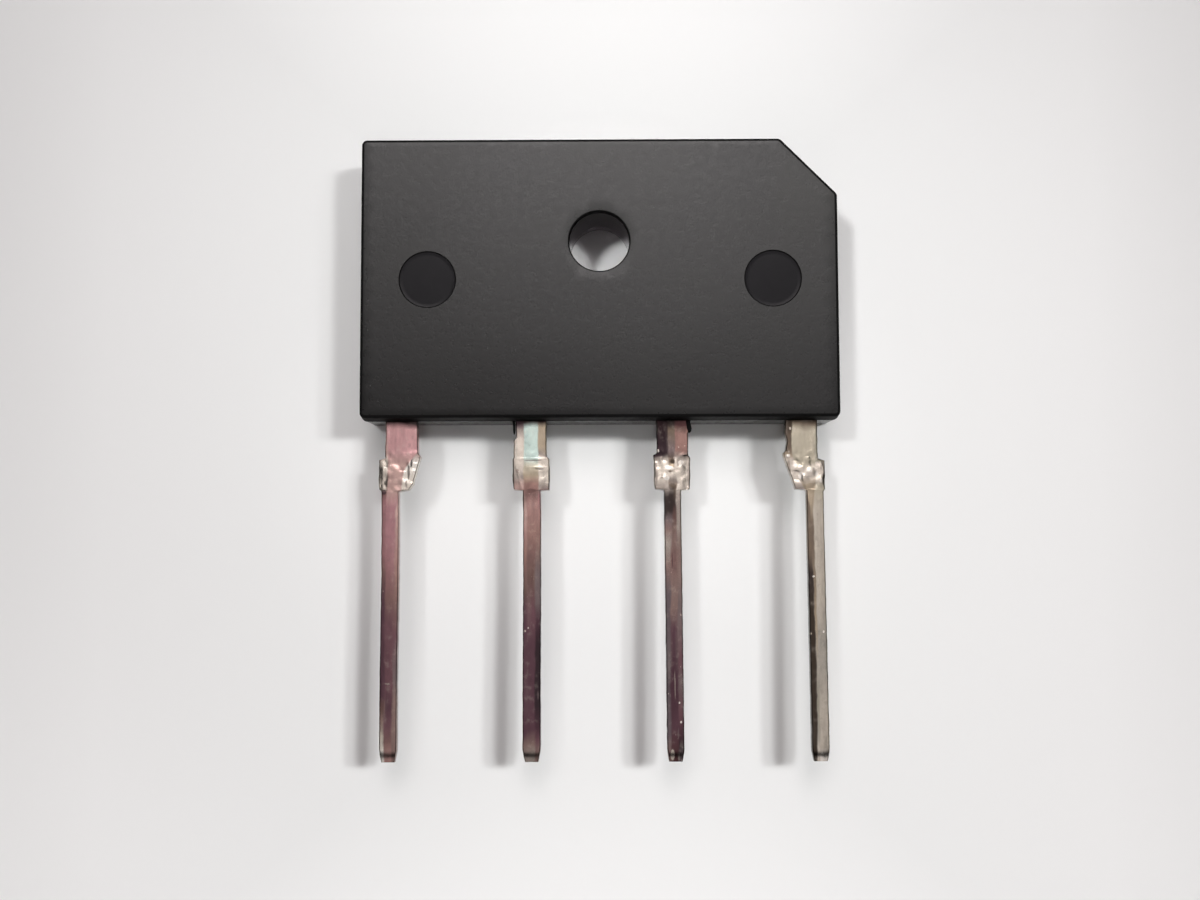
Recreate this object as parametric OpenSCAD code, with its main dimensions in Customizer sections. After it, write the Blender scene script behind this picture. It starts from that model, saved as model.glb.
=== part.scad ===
// Four-lead in-line bridge rectifier, lying flat.
// The heatsink face is up at the top of the body, the marked face rests on Z = 0,
// and the leads run toward -Y. The origin is the screw hole's axis on the resting face.

/* [Body] */
// Width of the moulded body at its parting line
body_w = 25; // [24.8:0.1:25.2]
// Height of the moulded body, lead side to far side, at its parting line
body_h = 14.8; // [14.7:0.1:15.3]
// Thickness of the body, marked face to heatsink face
body_t = 4.6; // [4.4:0.1:4.8]
// Distance from the lead-side edge to the screw hole's axis
hole_y = 9.3; // [9.3:0.1:9.7]
// Diameter of the screw hole
hole_d = 3.15; // [3.1:0.05:3.4]
// Corner cut that marks the positive lead
chamfer = 3; // [2.6:0.1:3.3]
// Mould draft of the half that carries the heatsink face, degrees
draft_heatsink = 3; // [1:0.5:5]
// Mould draft of the half that carries the marked face, degrees
draft_marked = 2.5; // [1:0.5:4]
// Radius of the upright corners at the parting line
corner_r = 0.35; // [0.3:0.05:0.5]

/* [Ejector marks] */
// Diameter of the two ejector-pin marks
ejector_d = 3; // [2.5:0.1:3.4]
// Depth of the ejector-pin marks below the heatsink face
ejector_depth = 0.07; // [0.02:0.01:0.2]
// Distance of each mark from the screw hole's axis, sideways
ejector_x = 9; // [8.6:0.05:9.4]
// Distance of the marks from the screw hole's axis, toward the leads
ejector_y = 2; // [1.5:0.05:2.5]

/* [Leads] */
// Spacing of the leads
pitch = 7.4; // [7.3:0.1:7.7]
// Length of the leads outside the body
lead_len = 17.6; // [17.2:0.1:17.8]
// Thickness of the lead sheet
lead_t = 0.7; // [0.6:0.05:0.8]
// Height of the lead sheet's lower side above the marked face
lead_z = 2.7; // [2.5:0.1:2.9]
// Width of the narrow part that goes into the board
lead_w = 0.95; // [0.9:0.05:1.1]
// Width of the lead where it leaves the body
neck_w = 1.66; // [1.5:0.05:1.8]
// Distance from the body to the upper side of the cut tie-bar stubs
collar_top = 1.9; // [1.6:0.05:2.1]
// Distance from the body to the shoulder that stops on the board
shoulder = 3.6; // [3.3:0.05:3.7]
// How far the outer leads' necks are set in toward the middle
neck_set_in = 0.63; // [0.5:0.05:0.7]
// Length of the pointed tip
tip_len = 0.65; // [0.4:0.05:0.9]
// Width of the lead's very end
tip_w = 0.72; // [0.6:0.02:0.8]
// How much the tip thins on its upper and lower side
tip_bevel = 0.14; // [0.05:0.01:0.2]

/* [Diode chips] */
// Side of a square diode chip
chip_s = 2.4; // [2:0.1:2.5]
// Thickness of a chip
chip_t = 0.25; // [0.2:0.01:0.3]
// Thickness of every solder layer
solder_t = 0.05; // [0.04:0.01:0.08]
// Thickness of the jumper strip
jumper_t = 0.4; // [0.3:0.05:0.5]
// Width of a jumper
jumper_w = 1.2; // [1:0.1:1.3]

/* [Hidden] */
$fn = 96;

far_y = body_h - hole_y;             // far edge of the body
near_y = -hole_y;                    // lead-side edge of the body
part_z = lead_z + lead_t;            // parting plane of the mould
tip_y = near_y - lead_len;           // lead ends
x_in = pitch / 2;                    // middle leads
x_out = 1.5 * pitch;                 // outer leads
outer_neck_in = x_out - neck_set_in - neck_w / 2;
outer_neck_out = x_out - neck_set_in + neck_w / 2;
big = 90;

// Pads: edges of the flat areas inside the body
pad_lo = near_y + 1.6;               // lower edge of the two ac pads
pad_mid = -3;                        // upper edge of the pads below the screw hole
pad_top = 4.6;                       // upper edge of the pads beside the screw hole
pad_gap = 1;                         // half the gap between the ac pads
pad_side = 3.2;                      // pad edges beside the screw hole
pad_out = 9;                         // outer edges of the ac pads

// Heights of the stack on the pads' lower side
z_chip = lead_z - solder_t - chip_t;
z_contact = z_chip - solder_t;
z_jumper = z_contact - jumper_t;
z_foot = lead_z - solder_t - jumper_t;

// Chip centres: 1 and 2 on the positive pad, 3 and 4 on the ac pads
chip_at = [[8.6, 2.5], [5.2, 2.9], [3.5, -5.2], [-5.5, -5.2]];

epoxy_c = [0.27, 0.27, 0.27];
tin_c = [0.72, 0.69, 0.64];
copper_c = [0.72, 0.43, 0.28];
chip_c = [0.22, 0.23, 0.27];
solder_c = [0.62, 0.62, 0.64];

// One side wall of a drafted block: everything inward of it
module inside_of(wall, lean) {
    rotate([0, 0, wall[0]]) translate([wall[1], 0, part_z]) rotate([0, lean, 0])
        translate([-big, -big / 2, -big / 2]) cube([big, big, big]);
}

// Side walls of the moulding, going round: [direction it faces, distance from the axis]
walls = [[0, body_w / 2], [45, (body_w / 2 + far_y - chamfer) / sqrt(2)], [90, far_y],
    [180, body_w / 2], [270, -near_y]];

// Point at the given distances inward of two walls
function corner(w1, w2, inset) =
    let (k = sin(w2[0] - w1[0]), d1 = w1[1] - inset, d2 = w2[1] - inset)
    [(d1 * sin(w2[0]) - d2 * sin(w1[0])) / k, (d2 * cos(w1[0]) - d1 * cos(w2[0])) / k];

// What the rounding takes off the upright corner between two walls
module corner_trim(w1, w2, z0, z1, r0, r1) {
    c = corner(w1, w2, corner_r);
    n1 = [cos(w1[0]), sin(w1[0])];
    n2 = [cos(w2[0]), sin(w2[0])];
    difference() {
        translate([0, 0, z0]) linear_extrude(z1 - z0)
            polygon([c, c + 2 * n1, c + 2 * n1 + 2 * n2, c + 2 * n2]);
        translate([c[0], c[1], z0]) cylinder(h = z1 - z0, r1 = r0, r2 = r1);
    }
}

// Half of the moulding between two heights, drafted away from the parting plane
module half(z0, z1, lean) {
    slope = tan(abs(lean));
    difference() {
        intersection() {
            translate([-big / 2, -big / 2, z0]) cube([big, big, z1 - z0]);
            inside_of(walls[0], lean);
            inside_of(walls[1], lean);
            inside_of(walls[2], lean);
            inside_of(walls[3], lean);
            inside_of(walls[4], lean);
        }
        for (i = [0 : 4])
            corner_trim(walls[i], walls[(i + 1) % 5], z0, z1,
                corner_r - abs(z0 - part_z) * slope, corner_r - abs(z1 - part_z) * slope);
    }
}

module epoxy_body() {
    color(epoxy_c) difference() {
        union() {
            half(part_z, body_t, -draft_heatsink);
            half(0, part_z, draft_marked);
        }
        translate([0, 0, -1]) cylinder(h = body_t + 2, d = hole_d);
        for (side = [-1, 1])
            translate([side * ejector_x, -ejector_y, body_t - ejector_depth])
                cylinder(h = 1, d = ejector_d);
        lead_blank(-1, true);
        lead_blank(-1, false);
        lead_blank(1, false);
        lead_blank(1, true);
        for (i = [0 : 3]) {
            chip(i);
            chip_solder(i);
            contact_solder(i);
        }
        jumper_ac_1();
        jumper_ac_2();
        jumper_negative();
        jumper_solder_ac_1();
        jumper_solder_ac_2();
        jumper_solder_negative();
    }
}

// Outline of a lead outside the body, from the left of its neck round to the right:
// a wide neck, the collar with its cut tie-bar stubs, the narrow part and the tapered end.
// x is the narrow part's centre; n0 and n1 are the neck's sides; a0, a1, b0 and b1 are the
// collar's left and right sides at its top and at the shoulder, all from that centre.
function lead_outline(x, n0, n1, a0, a1, b0, b1) = [for (p = [
    [n0, -collar_top], [a0, -collar_top], [b0, -shoulder], [-lead_w / 2, -shoulder],
    [-lead_w / 2, tip_len - lead_len], [-tip_w / 2, -lead_len], [tip_w / 2, -lead_len],
    [lead_w / 2, tip_len - lead_len], [lead_w / 2, -shoulder], [b1, -shoulder],
    [a1, -collar_top], [n1, -collar_top]]) [x + p[0], near_y + p[1]]];

// Thins the end of a lead at x on its upper and lower side
module tip_cuts(x) {
    lean = atan(tip_bevel / tip_len);
    translate([x - 2, tip_y + tip_len, part_z]) rotate([lean, 0, 0])
        translate([0, -4, 0]) cube([4, 4, 2]);
    translate([x - 2, tip_y + tip_len, lead_z]) rotate([-lean, 0, 0])
        translate([0, -4, -2]) cube([4, 4, 2]);
}

// One stamped lead with its pad: side -1 is left of the screw hole, 1 right of it
module lead_blank(side, outer) {
    x = side * (outer ? x_out : x_in);
    nc = outer ? -side * neck_set_in : 0;
    n0 = nc - neck_w / 2;
    n1 = nc + neck_w / 2;
    neck_l = x + n0;
    neck_r = x + n1;
    outline = !outer ? lead_outline(x, n0, n1, -0.97, 0.93, -0.97, 0.93)
        : side < 0 ? lead_outline(x, n0, n1, -0.59, 1.5, -0.59, 1.21)
        : lead_outline(x, n0, n1, -1.6, 0.54, -1.06, 0.54);
    pad = outer && side < 0 ? [[neck_r, 4], [neck_l, 4]]
        : outer ? [[neck_r, 2.35], [9.3, pad_top], [pad_side, pad_top], [pad_side, 0.2],
            [neck_l, 0.2]]
        : side < 0 ? [[neck_r, pad_lo], [-pad_gap, pad_lo], [-pad_gap, pad_mid],
            [-pad_side, pad_mid], [-pad_side, pad_top], [-pad_out, pad_top],
            [-pad_out, pad_lo], [neck_l, pad_lo]]
        : [[neck_r, pad_lo], [pad_out, pad_lo], [pad_out, pad_mid], [pad_gap, pad_mid],
            [pad_gap, pad_lo], [neck_l, pad_lo]];
    difference() {
        translate([0, 0, lead_z]) linear_extrude(lead_t) polygon(concat(outline, pad));
        tip_cuts(x);
    }
}

module lead_negative() { color(tin_c) lead_blank(-1, true); }
module lead_ac_2() { color(tin_c) lead_blank(-1, false); }
module lead_ac_1() { color(tin_c) lead_blank(1, false); }
module lead_positive() { color(tin_c) lead_blank(1, true); }

module block_at(c, w, d, z, h) {
    translate([c[0] - w / 2, c[1] - d / 2, z]) cube([w, d, h]);
}

module chip(i) { color(chip_c) block_at(chip_at[i], chip_s, chip_s, z_chip, chip_t); }
module chip_solder(i) {
    color(solder_c) block_at(chip_at[i], chip_s, chip_s, lead_z - solder_t, solder_t);
}
module contact_solder(i) {
    color(solder_c) block_at(chip_at[i], jumper_w, jumper_w, z_contact, solder_t);
}
module foot_solder(x, y) {
    color(solder_c) block_at([x, y], 1, 1, lead_z - solder_t, solder_t);
}

// A jumper: a straight strip from s0 to s1, then a step up to the pad, ending at s2
module strip(s0, s1, s2) {
    d = s2 > s1 ? 1 : -1;
    rotate([90, 0, 0]) linear_extrude(jumper_w, center = true) polygon([
        [s0, z_jumper], [s1, z_jumper], [s1 + d * 0.45, z_foot], [s2, z_foot],
        [s2, z_foot + jumper_t], [s1 + d * 0.35, z_foot + jumper_t],
        [s1 - d * 0.1, z_contact], [s0, z_contact]]);
}

module jumper_ac_1() {
    color(copper_c) translate([chip_at[0][0] - 0.2, 0, 0]) rotate([0, 0, 90])
        strip(chip_at[0][1] + 0.9, -2.8, -4.45);
}
module jumper_ac_2() {
    color(copper_c) translate([0, chip_at[1][1], 0])
        strip(chip_at[1][0] + 0.9, -3.3, -5.1);
}
module jumper_negative() {
    color(copper_c) translate([0, chip_at[2][1], 0])
        strip(chip_at[2][0] + 0.9, -outer_neck_in + 0.55, -outer_neck_out + 0.25);
}

module diode_chip_1() { chip(0); }
module diode_chip_2() { chip(1); }
module diode_chip_3() { chip(2); }
module diode_chip_4() { chip(3); }
module chip_solder_1() { chip_solder(0); }
module chip_solder_2() { chip_solder(1); }
module chip_solder_3() { chip_solder(2); }
module chip_solder_4() { chip_solder(3); }
module contact_solder_1() { contact_solder(0); }
module contact_solder_2() { contact_solder(1); }
module contact_solder_3() { contact_solder(2); }
module contact_solder_4() { contact_solder(3); }
module jumper_solder_ac_1() { foot_solder(chip_at[0][0] - 0.2, -3.85); }
module jumper_solder_ac_2() { foot_solder(-4.5, chip_at[1][1]); }
module jumper_solder_negative() {
    foot_solder(-(outer_neck_in + outer_neck_out) / 2, chip_at[2][1]);
}

epoxy_body();
lead_negative();
lead_ac_2();
lead_ac_1();
lead_positive();
diode_chip_1();
diode_chip_2();
diode_chip_3();
diode_chip_4();
jumper_ac_1();
jumper_ac_2();
jumper_negative();
chip_solder_1();
chip_solder_2();
chip_solder_3();
chip_solder_4();
contact_solder_1();
contact_solder_2();
contact_solder_3();
contact_solder_4();
jumper_solder_ac_1();
jumper_solder_ac_2();
jumper_solder_negative();
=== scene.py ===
import math
import random

import bpy
from mathutils import Matrix, Vector, geometry, noise


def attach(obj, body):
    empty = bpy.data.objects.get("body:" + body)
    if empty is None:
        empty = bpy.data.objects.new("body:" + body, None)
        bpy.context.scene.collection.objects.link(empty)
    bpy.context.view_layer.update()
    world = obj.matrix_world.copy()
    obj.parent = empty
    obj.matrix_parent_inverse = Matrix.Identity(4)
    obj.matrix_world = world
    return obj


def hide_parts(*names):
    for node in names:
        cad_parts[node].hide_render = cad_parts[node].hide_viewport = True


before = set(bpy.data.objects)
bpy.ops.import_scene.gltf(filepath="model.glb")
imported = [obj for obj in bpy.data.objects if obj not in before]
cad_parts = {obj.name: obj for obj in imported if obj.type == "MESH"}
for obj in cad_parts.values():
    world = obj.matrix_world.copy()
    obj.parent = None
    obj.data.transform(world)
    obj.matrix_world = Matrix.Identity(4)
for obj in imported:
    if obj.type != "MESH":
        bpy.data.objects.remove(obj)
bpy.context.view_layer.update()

MM = 0.001

# ---------------------------------------------------------------- sizes, in millimetres
HALF_W, FAR_Y, NEAR_Y, CUT = 12.5, 5.5, -9.3, 3.0
PART_Z, TOP_Z = 3.4, 4.6
CORNER_R = 0.35
SLOPE_UP, SLOPE_LOW = math.tan(math.radians(3.0)), math.tan(math.radians(2.5))
BORE_R = 1.575
LEAD_LO, LEAD_HI = 2.7, 3.4
TIP_Y = NEAR_Y - 17.6


def srgb(r, g, b):
    def one(c):
        c /= 255.0
        return c / 12.92 if c <= 0.04045 else ((c + 0.055) / 1.055) ** 2.4
    return (one(r), one(g), one(b), 1.0)


# ---------------------------------------------------------------- node helpers
class Mat:
    """A small wrapper that makes node trees readable."""

    def __init__(self, name):
        self.m = bpy.data.materials.new(name)
        self.m.use_nodes = True
        self.t = self.m.node_tree
        self.t.nodes.clear()
        self.out = self.t.nodes.new("ShaderNodeOutputMaterial")
        self.bsdf = self.t.nodes.new("ShaderNodeBsdfPrincipled")
        self.t.links.new(self.bsdf.outputs[0], self.out.inputs[0])
        self.co = self.t.nodes.new("ShaderNodeTexCoord").outputs["Object"]
        sep = self.t.nodes.new("ShaderNodeSeparateXYZ")
        self.t.links.new(self.co, sep.inputs[0])
        self.x, self.y, self.z = sep.outputs[0], sep.outputs[1], sep.outputs[2]

    def link(self, a, b):
        if isinstance(a, (int, float)):
            b.default_value = a
        elif isinstance(a, tuple):
            b.default_value = a
        else:
            self.t.links.new(a, b)

    def math(self, op, a, b=0.0, c=None, clamp=False):
        n = self.t.nodes.new("ShaderNodeMath")
        n.operation = op
        n.use_clamp = clamp
        self.link(a, n.inputs[0])
        self.link(b, n.inputs[1])
        if c is not None:
            self.link(c, n.inputs[2])
        return n.outputs[0]

    def noise(self, scale, detail=3.0, rough=0.5, vec=None, dims="3D", distort=0.0):
        n = self.t.nodes.new("ShaderNodeTexNoise")
        n.noise_dimensions = dims
        n.inputs["Scale"].default_value = scale
        n.inputs["Detail"].default_value = detail
        n.inputs["Roughness"].default_value = rough
        n.inputs["Distortion"].default_value = distort
        self.t.links.new(vec if vec is not None else self.co, n.inputs["Vector"])
        return n.outputs["Fac"]

    def voronoi(self, scale, vec=None, feature="F1", out="Distance"):
        n = self.t.nodes.new("ShaderNodeTexVoronoi")
        n.feature = feature
        n.inputs["Scale"].default_value = scale
        self.t.links.new(vec if vec is not None else self.co, n.inputs["Vector"])
        return n.outputs[out]

    def stretch(self, sx, sy, sz, offset=(0.0, 0.0, 0.0)):
        n = self.t.nodes.new("ShaderNodeMapping")
        n.inputs["Scale"].default_value = (sx, sy, sz)
        n.inputs["Location"].default_value = offset
        self.t.links.new(self.co, n.inputs["Vector"])
        return n.outputs[0]

    def remap(self, v, lo, hi, a=0.0, b=1.0, smooth=False):
        n = self.t.nodes.new("ShaderNodeMapRange")
        n.interpolation_type = "SMOOTHSTEP" if smooth else "LINEAR"
        n.inputs["From Min"].default_value = lo
        n.inputs["From Max"].default_value = hi
        n.inputs["To Min"].default_value = a
        n.inputs["To Max"].default_value = b
        self.link(v, n.inputs["Value"])
        return n.outputs["Result"]

    def ramp(self, v, stops, mode="LINEAR"):
        """stops: (position 0..1, colour or grey)"""
        n = self.t.nodes.new("ShaderNodeValToRGB")
        n.color_ramp.interpolation = mode
        e = n.color_ramp.elements
        while len(e) < len(stops):
            e.new(0.5)
        stops = sorted(stops, key=lambda s: s[0])
        for k, (p, c) in enumerate(stops):
            e[k].position = p
            e[k].color = c if isinstance(c, tuple) else (c, c, c, 1.0)
        self.link(v, n.inputs[0])
        return n.outputs[0]

    def mix(self, fac, a, b, mode="MIX"):
        n = self.t.nodes.new("ShaderNodeMix")
        n.data_type = "RGBA"
        n.blend_type = mode
        self.link(fac, n.inputs[0])
        self.link(a, n.inputs[6])
        self.link(b, n.inputs[7])
        return n.outputs[2]

    def bump(self, height, distance, strength=1.0, under=None):
        n = self.t.nodes.new("ShaderNodeBump")
        n.inputs["Strength"].default_value = strength
        n.inputs["Distance"].default_value = distance
        self.link(height, n.inputs["Height"])
        if under is not None:
            self.t.links.new(under, n.inputs["Normal"])
        return n.outputs[0]

    def set(self, name, v):
        self.link(v, self.bsdf.inputs[name])
        return self


# ---------------------------------------------------------------- materials
FACE_ROUGH = 0.28


def epoxy(name, dark, light, rough, grain_h, specular, seed, fade=False, painted_floor_bounce=None):
    """Filled epoxy as moulded: fine filler grain over slow flow clouds. With fade, painted light goes into the base
    colour:
    a painted highlight lighter towards the far edge and painted shade darker towards the leads, to match how the face
    looks when lit."""
    m = Mat(name)
    grain = m.noise(9000.0, 2.0, 0.6, vec=m.stretch(1.0, 1.0, 1.0, (seed * 0.013, 0.0, seed * 0.007)))
    filler = m.noise(2600.0, 3.0, 0.55)
    cloud = m.noise(170.0, 4.0, 0.55, distort=0.4)
    flow = m.noise(60.0, 2.0, 0.5, vec=m.stretch(1.0, 2.4, 1.0))
    base = m.mix(m.remap(cloud, 0.3, 0.7), dark, light)
    base = m.mix(m.remap(flow, 0.35, 0.65, 0.0, 0.3), base, dark)
    # painted light: near the floor the bore wall's base colour is made lighter, standing in for light bounced up from
    # the floor
    if painted_floor_bounce:
        rise = m.math("ADD", m.z, m.remap(flow, 0.3, 0.7, -0.00012, 0.00012))
        base = m.mix(m.remap(rise, 0.0008, 0.0030, 0.0, 1.0), m.mix(m.remap(rise, 0.0, 0.0011, 0.0, 1.0), painted_floor_bounce[0], painted_floor_bounce[1]), base)
    base = m.mix(m.remap(filler, 0.60, 0.80, 0.0, 0.30), base, m.mix(1.0, base, (1.30, 1.29, 1.28, 1.0), "MULTIPLY"))
    base = m.mix(m.remap(grain, 0.66, 0.74, 0.0, 0.30), base, m.mix(1.0, base, (1.55, 1.53, 1.50, 1.0), "MULTIPLY"))
    # painted light: the base colour is darkened towards the leads as painted shade and lightened towards the far edge
    # as a painted highlight
    if fade:
        t = m.math("ADD", m.y, m.math("MULTIPLY", m.x, 0.16))
        t = m.math("ADD", t, m.remap(flow, 0.3, 0.7, -0.0008, 0.0008))
        base = m.mix(m.remap(t, -0.0105, 0.0055, 0.0, 1.0), m.mix(1.0, base, (0.15, 0.145, 0.145, 1.0), "MULTIPLY"), m.mix(1.0, base, (1.70, 1.70, 1.70, 1.0), "MULTIPLY"))
    m.set("Base Color", base)
    m.set("Specular IOR Level", specular)
    patch = m.remap(cloud, 0.3, 0.7, -0.02, 0.02)
    m.set("Roughness", m.math("ADD", m.remap(filler, 0.3, 0.7, rough - 0.03, rough + 0.05), patch))
    b1 = m.bump(grain, 0.000012 * grain_h, 0.5)
    b2 = m.bump(filler, 0.00002 * grain_h, 0.3, under=b1)
    m.set("Normal", b2)
    return m


def epoxy_materials():
    # the face's fade is painted highlight and painted shade in its base colour
    face = epoxy("epoxy_matte_face_painted_light", srgb(42, 42, 42), srgb(46, 46, 45), FACE_ROUGH, 0.8, 0.30, 1, True)
    mark = epoxy("epoxy_ejector_mark", srgb(25, 24, 26), srgb(30, 29, 31), 0.20, 0.25, 0.09, 2)
    # painted shade: the upper walls, rims, bore mouths, mark steps and flash threads get a darker copy of the epoxy,
    # standing in for shade
    upper = epoxy("epoxy_upper_wall_painted_shade", srgb(14, 14, 14), srgb(20, 19, 19), 0.62, 0.6, 0.06, 3)
    lower = epoxy("epoxy_lower_wall", srgb(34, 34, 34), srgb(42, 41, 41), 0.26, 0.5, 0.5, 4)
    # the bore wall's two pale tones near the floor are painted bounce light
    bore = epoxy("epoxy_bore_wall_painted_bounce", srgb(18, 15, 19), srgb(27, 22, 28), 0.10, 0.3, 0.5, 5, painted_floor_bounce=(srgb(169, 161, 166), srgb(88, 79, 86)))
    return [face.m, mark.m, upper.m, lower.m, bore.m]


def plain_metal(name, c1, c2, rough, scale, streak):
    m = Mat(name)
    wide = m.noise(scale, 4.0, 0.6, distort=0.5)
    lines = m.noise(scale * 6.0, 3.0, 0.6, vec=m.stretch(*streak))
    col = m.mix(m.remap(wide, 0.3, 0.7), c1, c2)
    col = m.mix(m.remap(lines, 0.4, 0.7, 0.0, 0.35), col, c2)
    m.set("Base Color", col)
    m.set("Metallic", 1.0)
    m.set("Roughness", m.remap(wide, 0.3, 0.7, rough, rough + 0.12))
    m.set("Normal", m.bump(lines, 0.00001, 0.3))
    return m.m


def silicon_material():
    m = Mat("diced_silicon")
    saw = m.noise(2200.0, 2.0, 0.5, vec=m.stretch(1.0, 0.08, 1.0))
    spots = m.noise(900.0, 3.0, 0.6)
    col = m.mix(m.remap(spots, 0.3, 0.7), srgb(70, 74, 88), srgb(96, 98, 108))
    m.set("Base Color", col)
    m.set("Metallic", 0.6)
    m.set("Roughness", m.remap(saw, 0.3, 0.7, 0.18, 0.34))
    m.set("Normal", m.bump(saw, 0.000004, 0.3))
    return m.m


def floor_material():
    m = Mat("white_paper")
    fibre = m.noise(1400.0, 3.0, 0.6, vec=m.stretch(1.0, 0.5, 1.0))
    cloud = m.noise(14.0, 2.0, 0.5)
    col = m.mix(m.remap(cloud, 0.3, 0.7), (0.785, 0.79, 0.785, 1.0), (0.825, 0.83, 0.825, 1.0))
    # whiter outwards, to offset the lamps' falloff and stand for the pale border around the picture
    ax = m.remap(m.math("ABSOLUTE", m.x), 0.0120, 0.0270, 0.0, 1.0)
    ay = m.remap(m.math("ABSOLUTE", m.math("ADD", m.y, 0.0107)), 0.0170, 0.0300, 0.0, 1.0)
    col = m.mix(m.math("MAXIMUM", ax, ay), col, (0.93, 0.93, 0.925, 1.0))
    m.set("Base Color", col)
    m.set("Specular IOR Level", 0.2)
    m.set("Roughness", 0.85)
    m.set("Normal", m.bump(fibre, 0.00001, 0.25))
    return m.m


# ---------------------------------------------------------------- mesh helpers
def make_object(name, verts, faces, mats, face_mat=None, smooth_angle=40.0):
    me = bpy.data.meshes.new(name)
    me.from_pydata([(x * MM, y * MM, z * MM) for x, y, z in verts], [], faces)
    me.update()
    for mt in mats:
        me.materials.append(mt)
    if face_mat:
        me.polygons.foreach_set("material_index", face_mat)
    me.shade_smooth()
    ob = bpy.data.objects.new(name, me)
    bpy.context.scene.collection.objects.link(ob)
    bpy.context.view_layer.objects.active = ob
    ob.select_set(True)
    bpy.ops.object.shade_smooth_by_angle(angle=math.radians(smooth_angle))
    ob.select_set(False)
    return ob


def arc(r, a0, a1, n):
    return [(r * math.cos(a0 + (a1 - a0) * k / n), r * math.sin(a0 + (a1 - a0) * k / n)) for k in range(n + 1)]


# ---------------------------------------------------------------- the moulded body
FACE, MARK, UPPER, LOWER, BORE = range(5)
WALLS = [(0.0, HALF_W), (45.0, (HALF_W + FAR_Y - CUT) / math.sqrt(2.0)), (90.0, FAR_Y), (180.0, HALF_W), (270.0, -NEAR_Y)]


def wall_corner(w1, w2, inset):
    a1, a2 = math.radians(w1[0]), math.radians(w2[0])
    k = math.sin(a2 - a1)
    d1, d2 = w1[1] - inset, w2[1] - inset
    return ((d1 * math.sin(a2) - d2 * math.sin(a1)) / k, (d2 * math.cos(a1) - d1 * math.cos(a2)) / k)


def outline(inset, wobble=0.0, seed=0):
    """Points round the body at an inset from the parting outline, always the same number in the same order."""
    pts = []
    arcs = []
    for k in range(5):
        w1, w2 = WALLS[k], WALLS[(k + 1) % 5]
        cx, cy = wall_corner(w1, w2, CORNER_R)
        a1, a2 = w1[0], w2[0] if w2[0] > w1[0] else w2[0] + 360.0
        n = 5 if a2 - a1 < 60 else 9
        r = CORNER_R - inset
        arcs.append([(cx + r * math.cos(math.radians(a1 + (a2 - a1) * i / n)), cy + r * math.sin(math.radians(a1 + (a2 - a1) * i / n))) for i in range(n + 1)])
    for k in range(5):
        nxt = arcs[(k + 1) % 5]
        pts += arcs[k]
        p, q = arcs[k][-1], nxt[0]
        n = max(2, round(math.dist(p, q) / 0.4))
        pts += [(p[0] + (q[0] - p[0]) * i / n, p[1] + (q[1] - p[1]) * i / n) for i in range(1, n)]
    if wobble:
        pts = [(x * (1 - wobble / 12.5 * abs(noise.noise(Vector((x * 0.9, y * 0.9, seed))))), y * (1 - wobble / 9.0 * abs(noise.noise(Vector((x * 0.9, y * 0.9, seed + 7)))))) for x, y in pts]
    return pts


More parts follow.
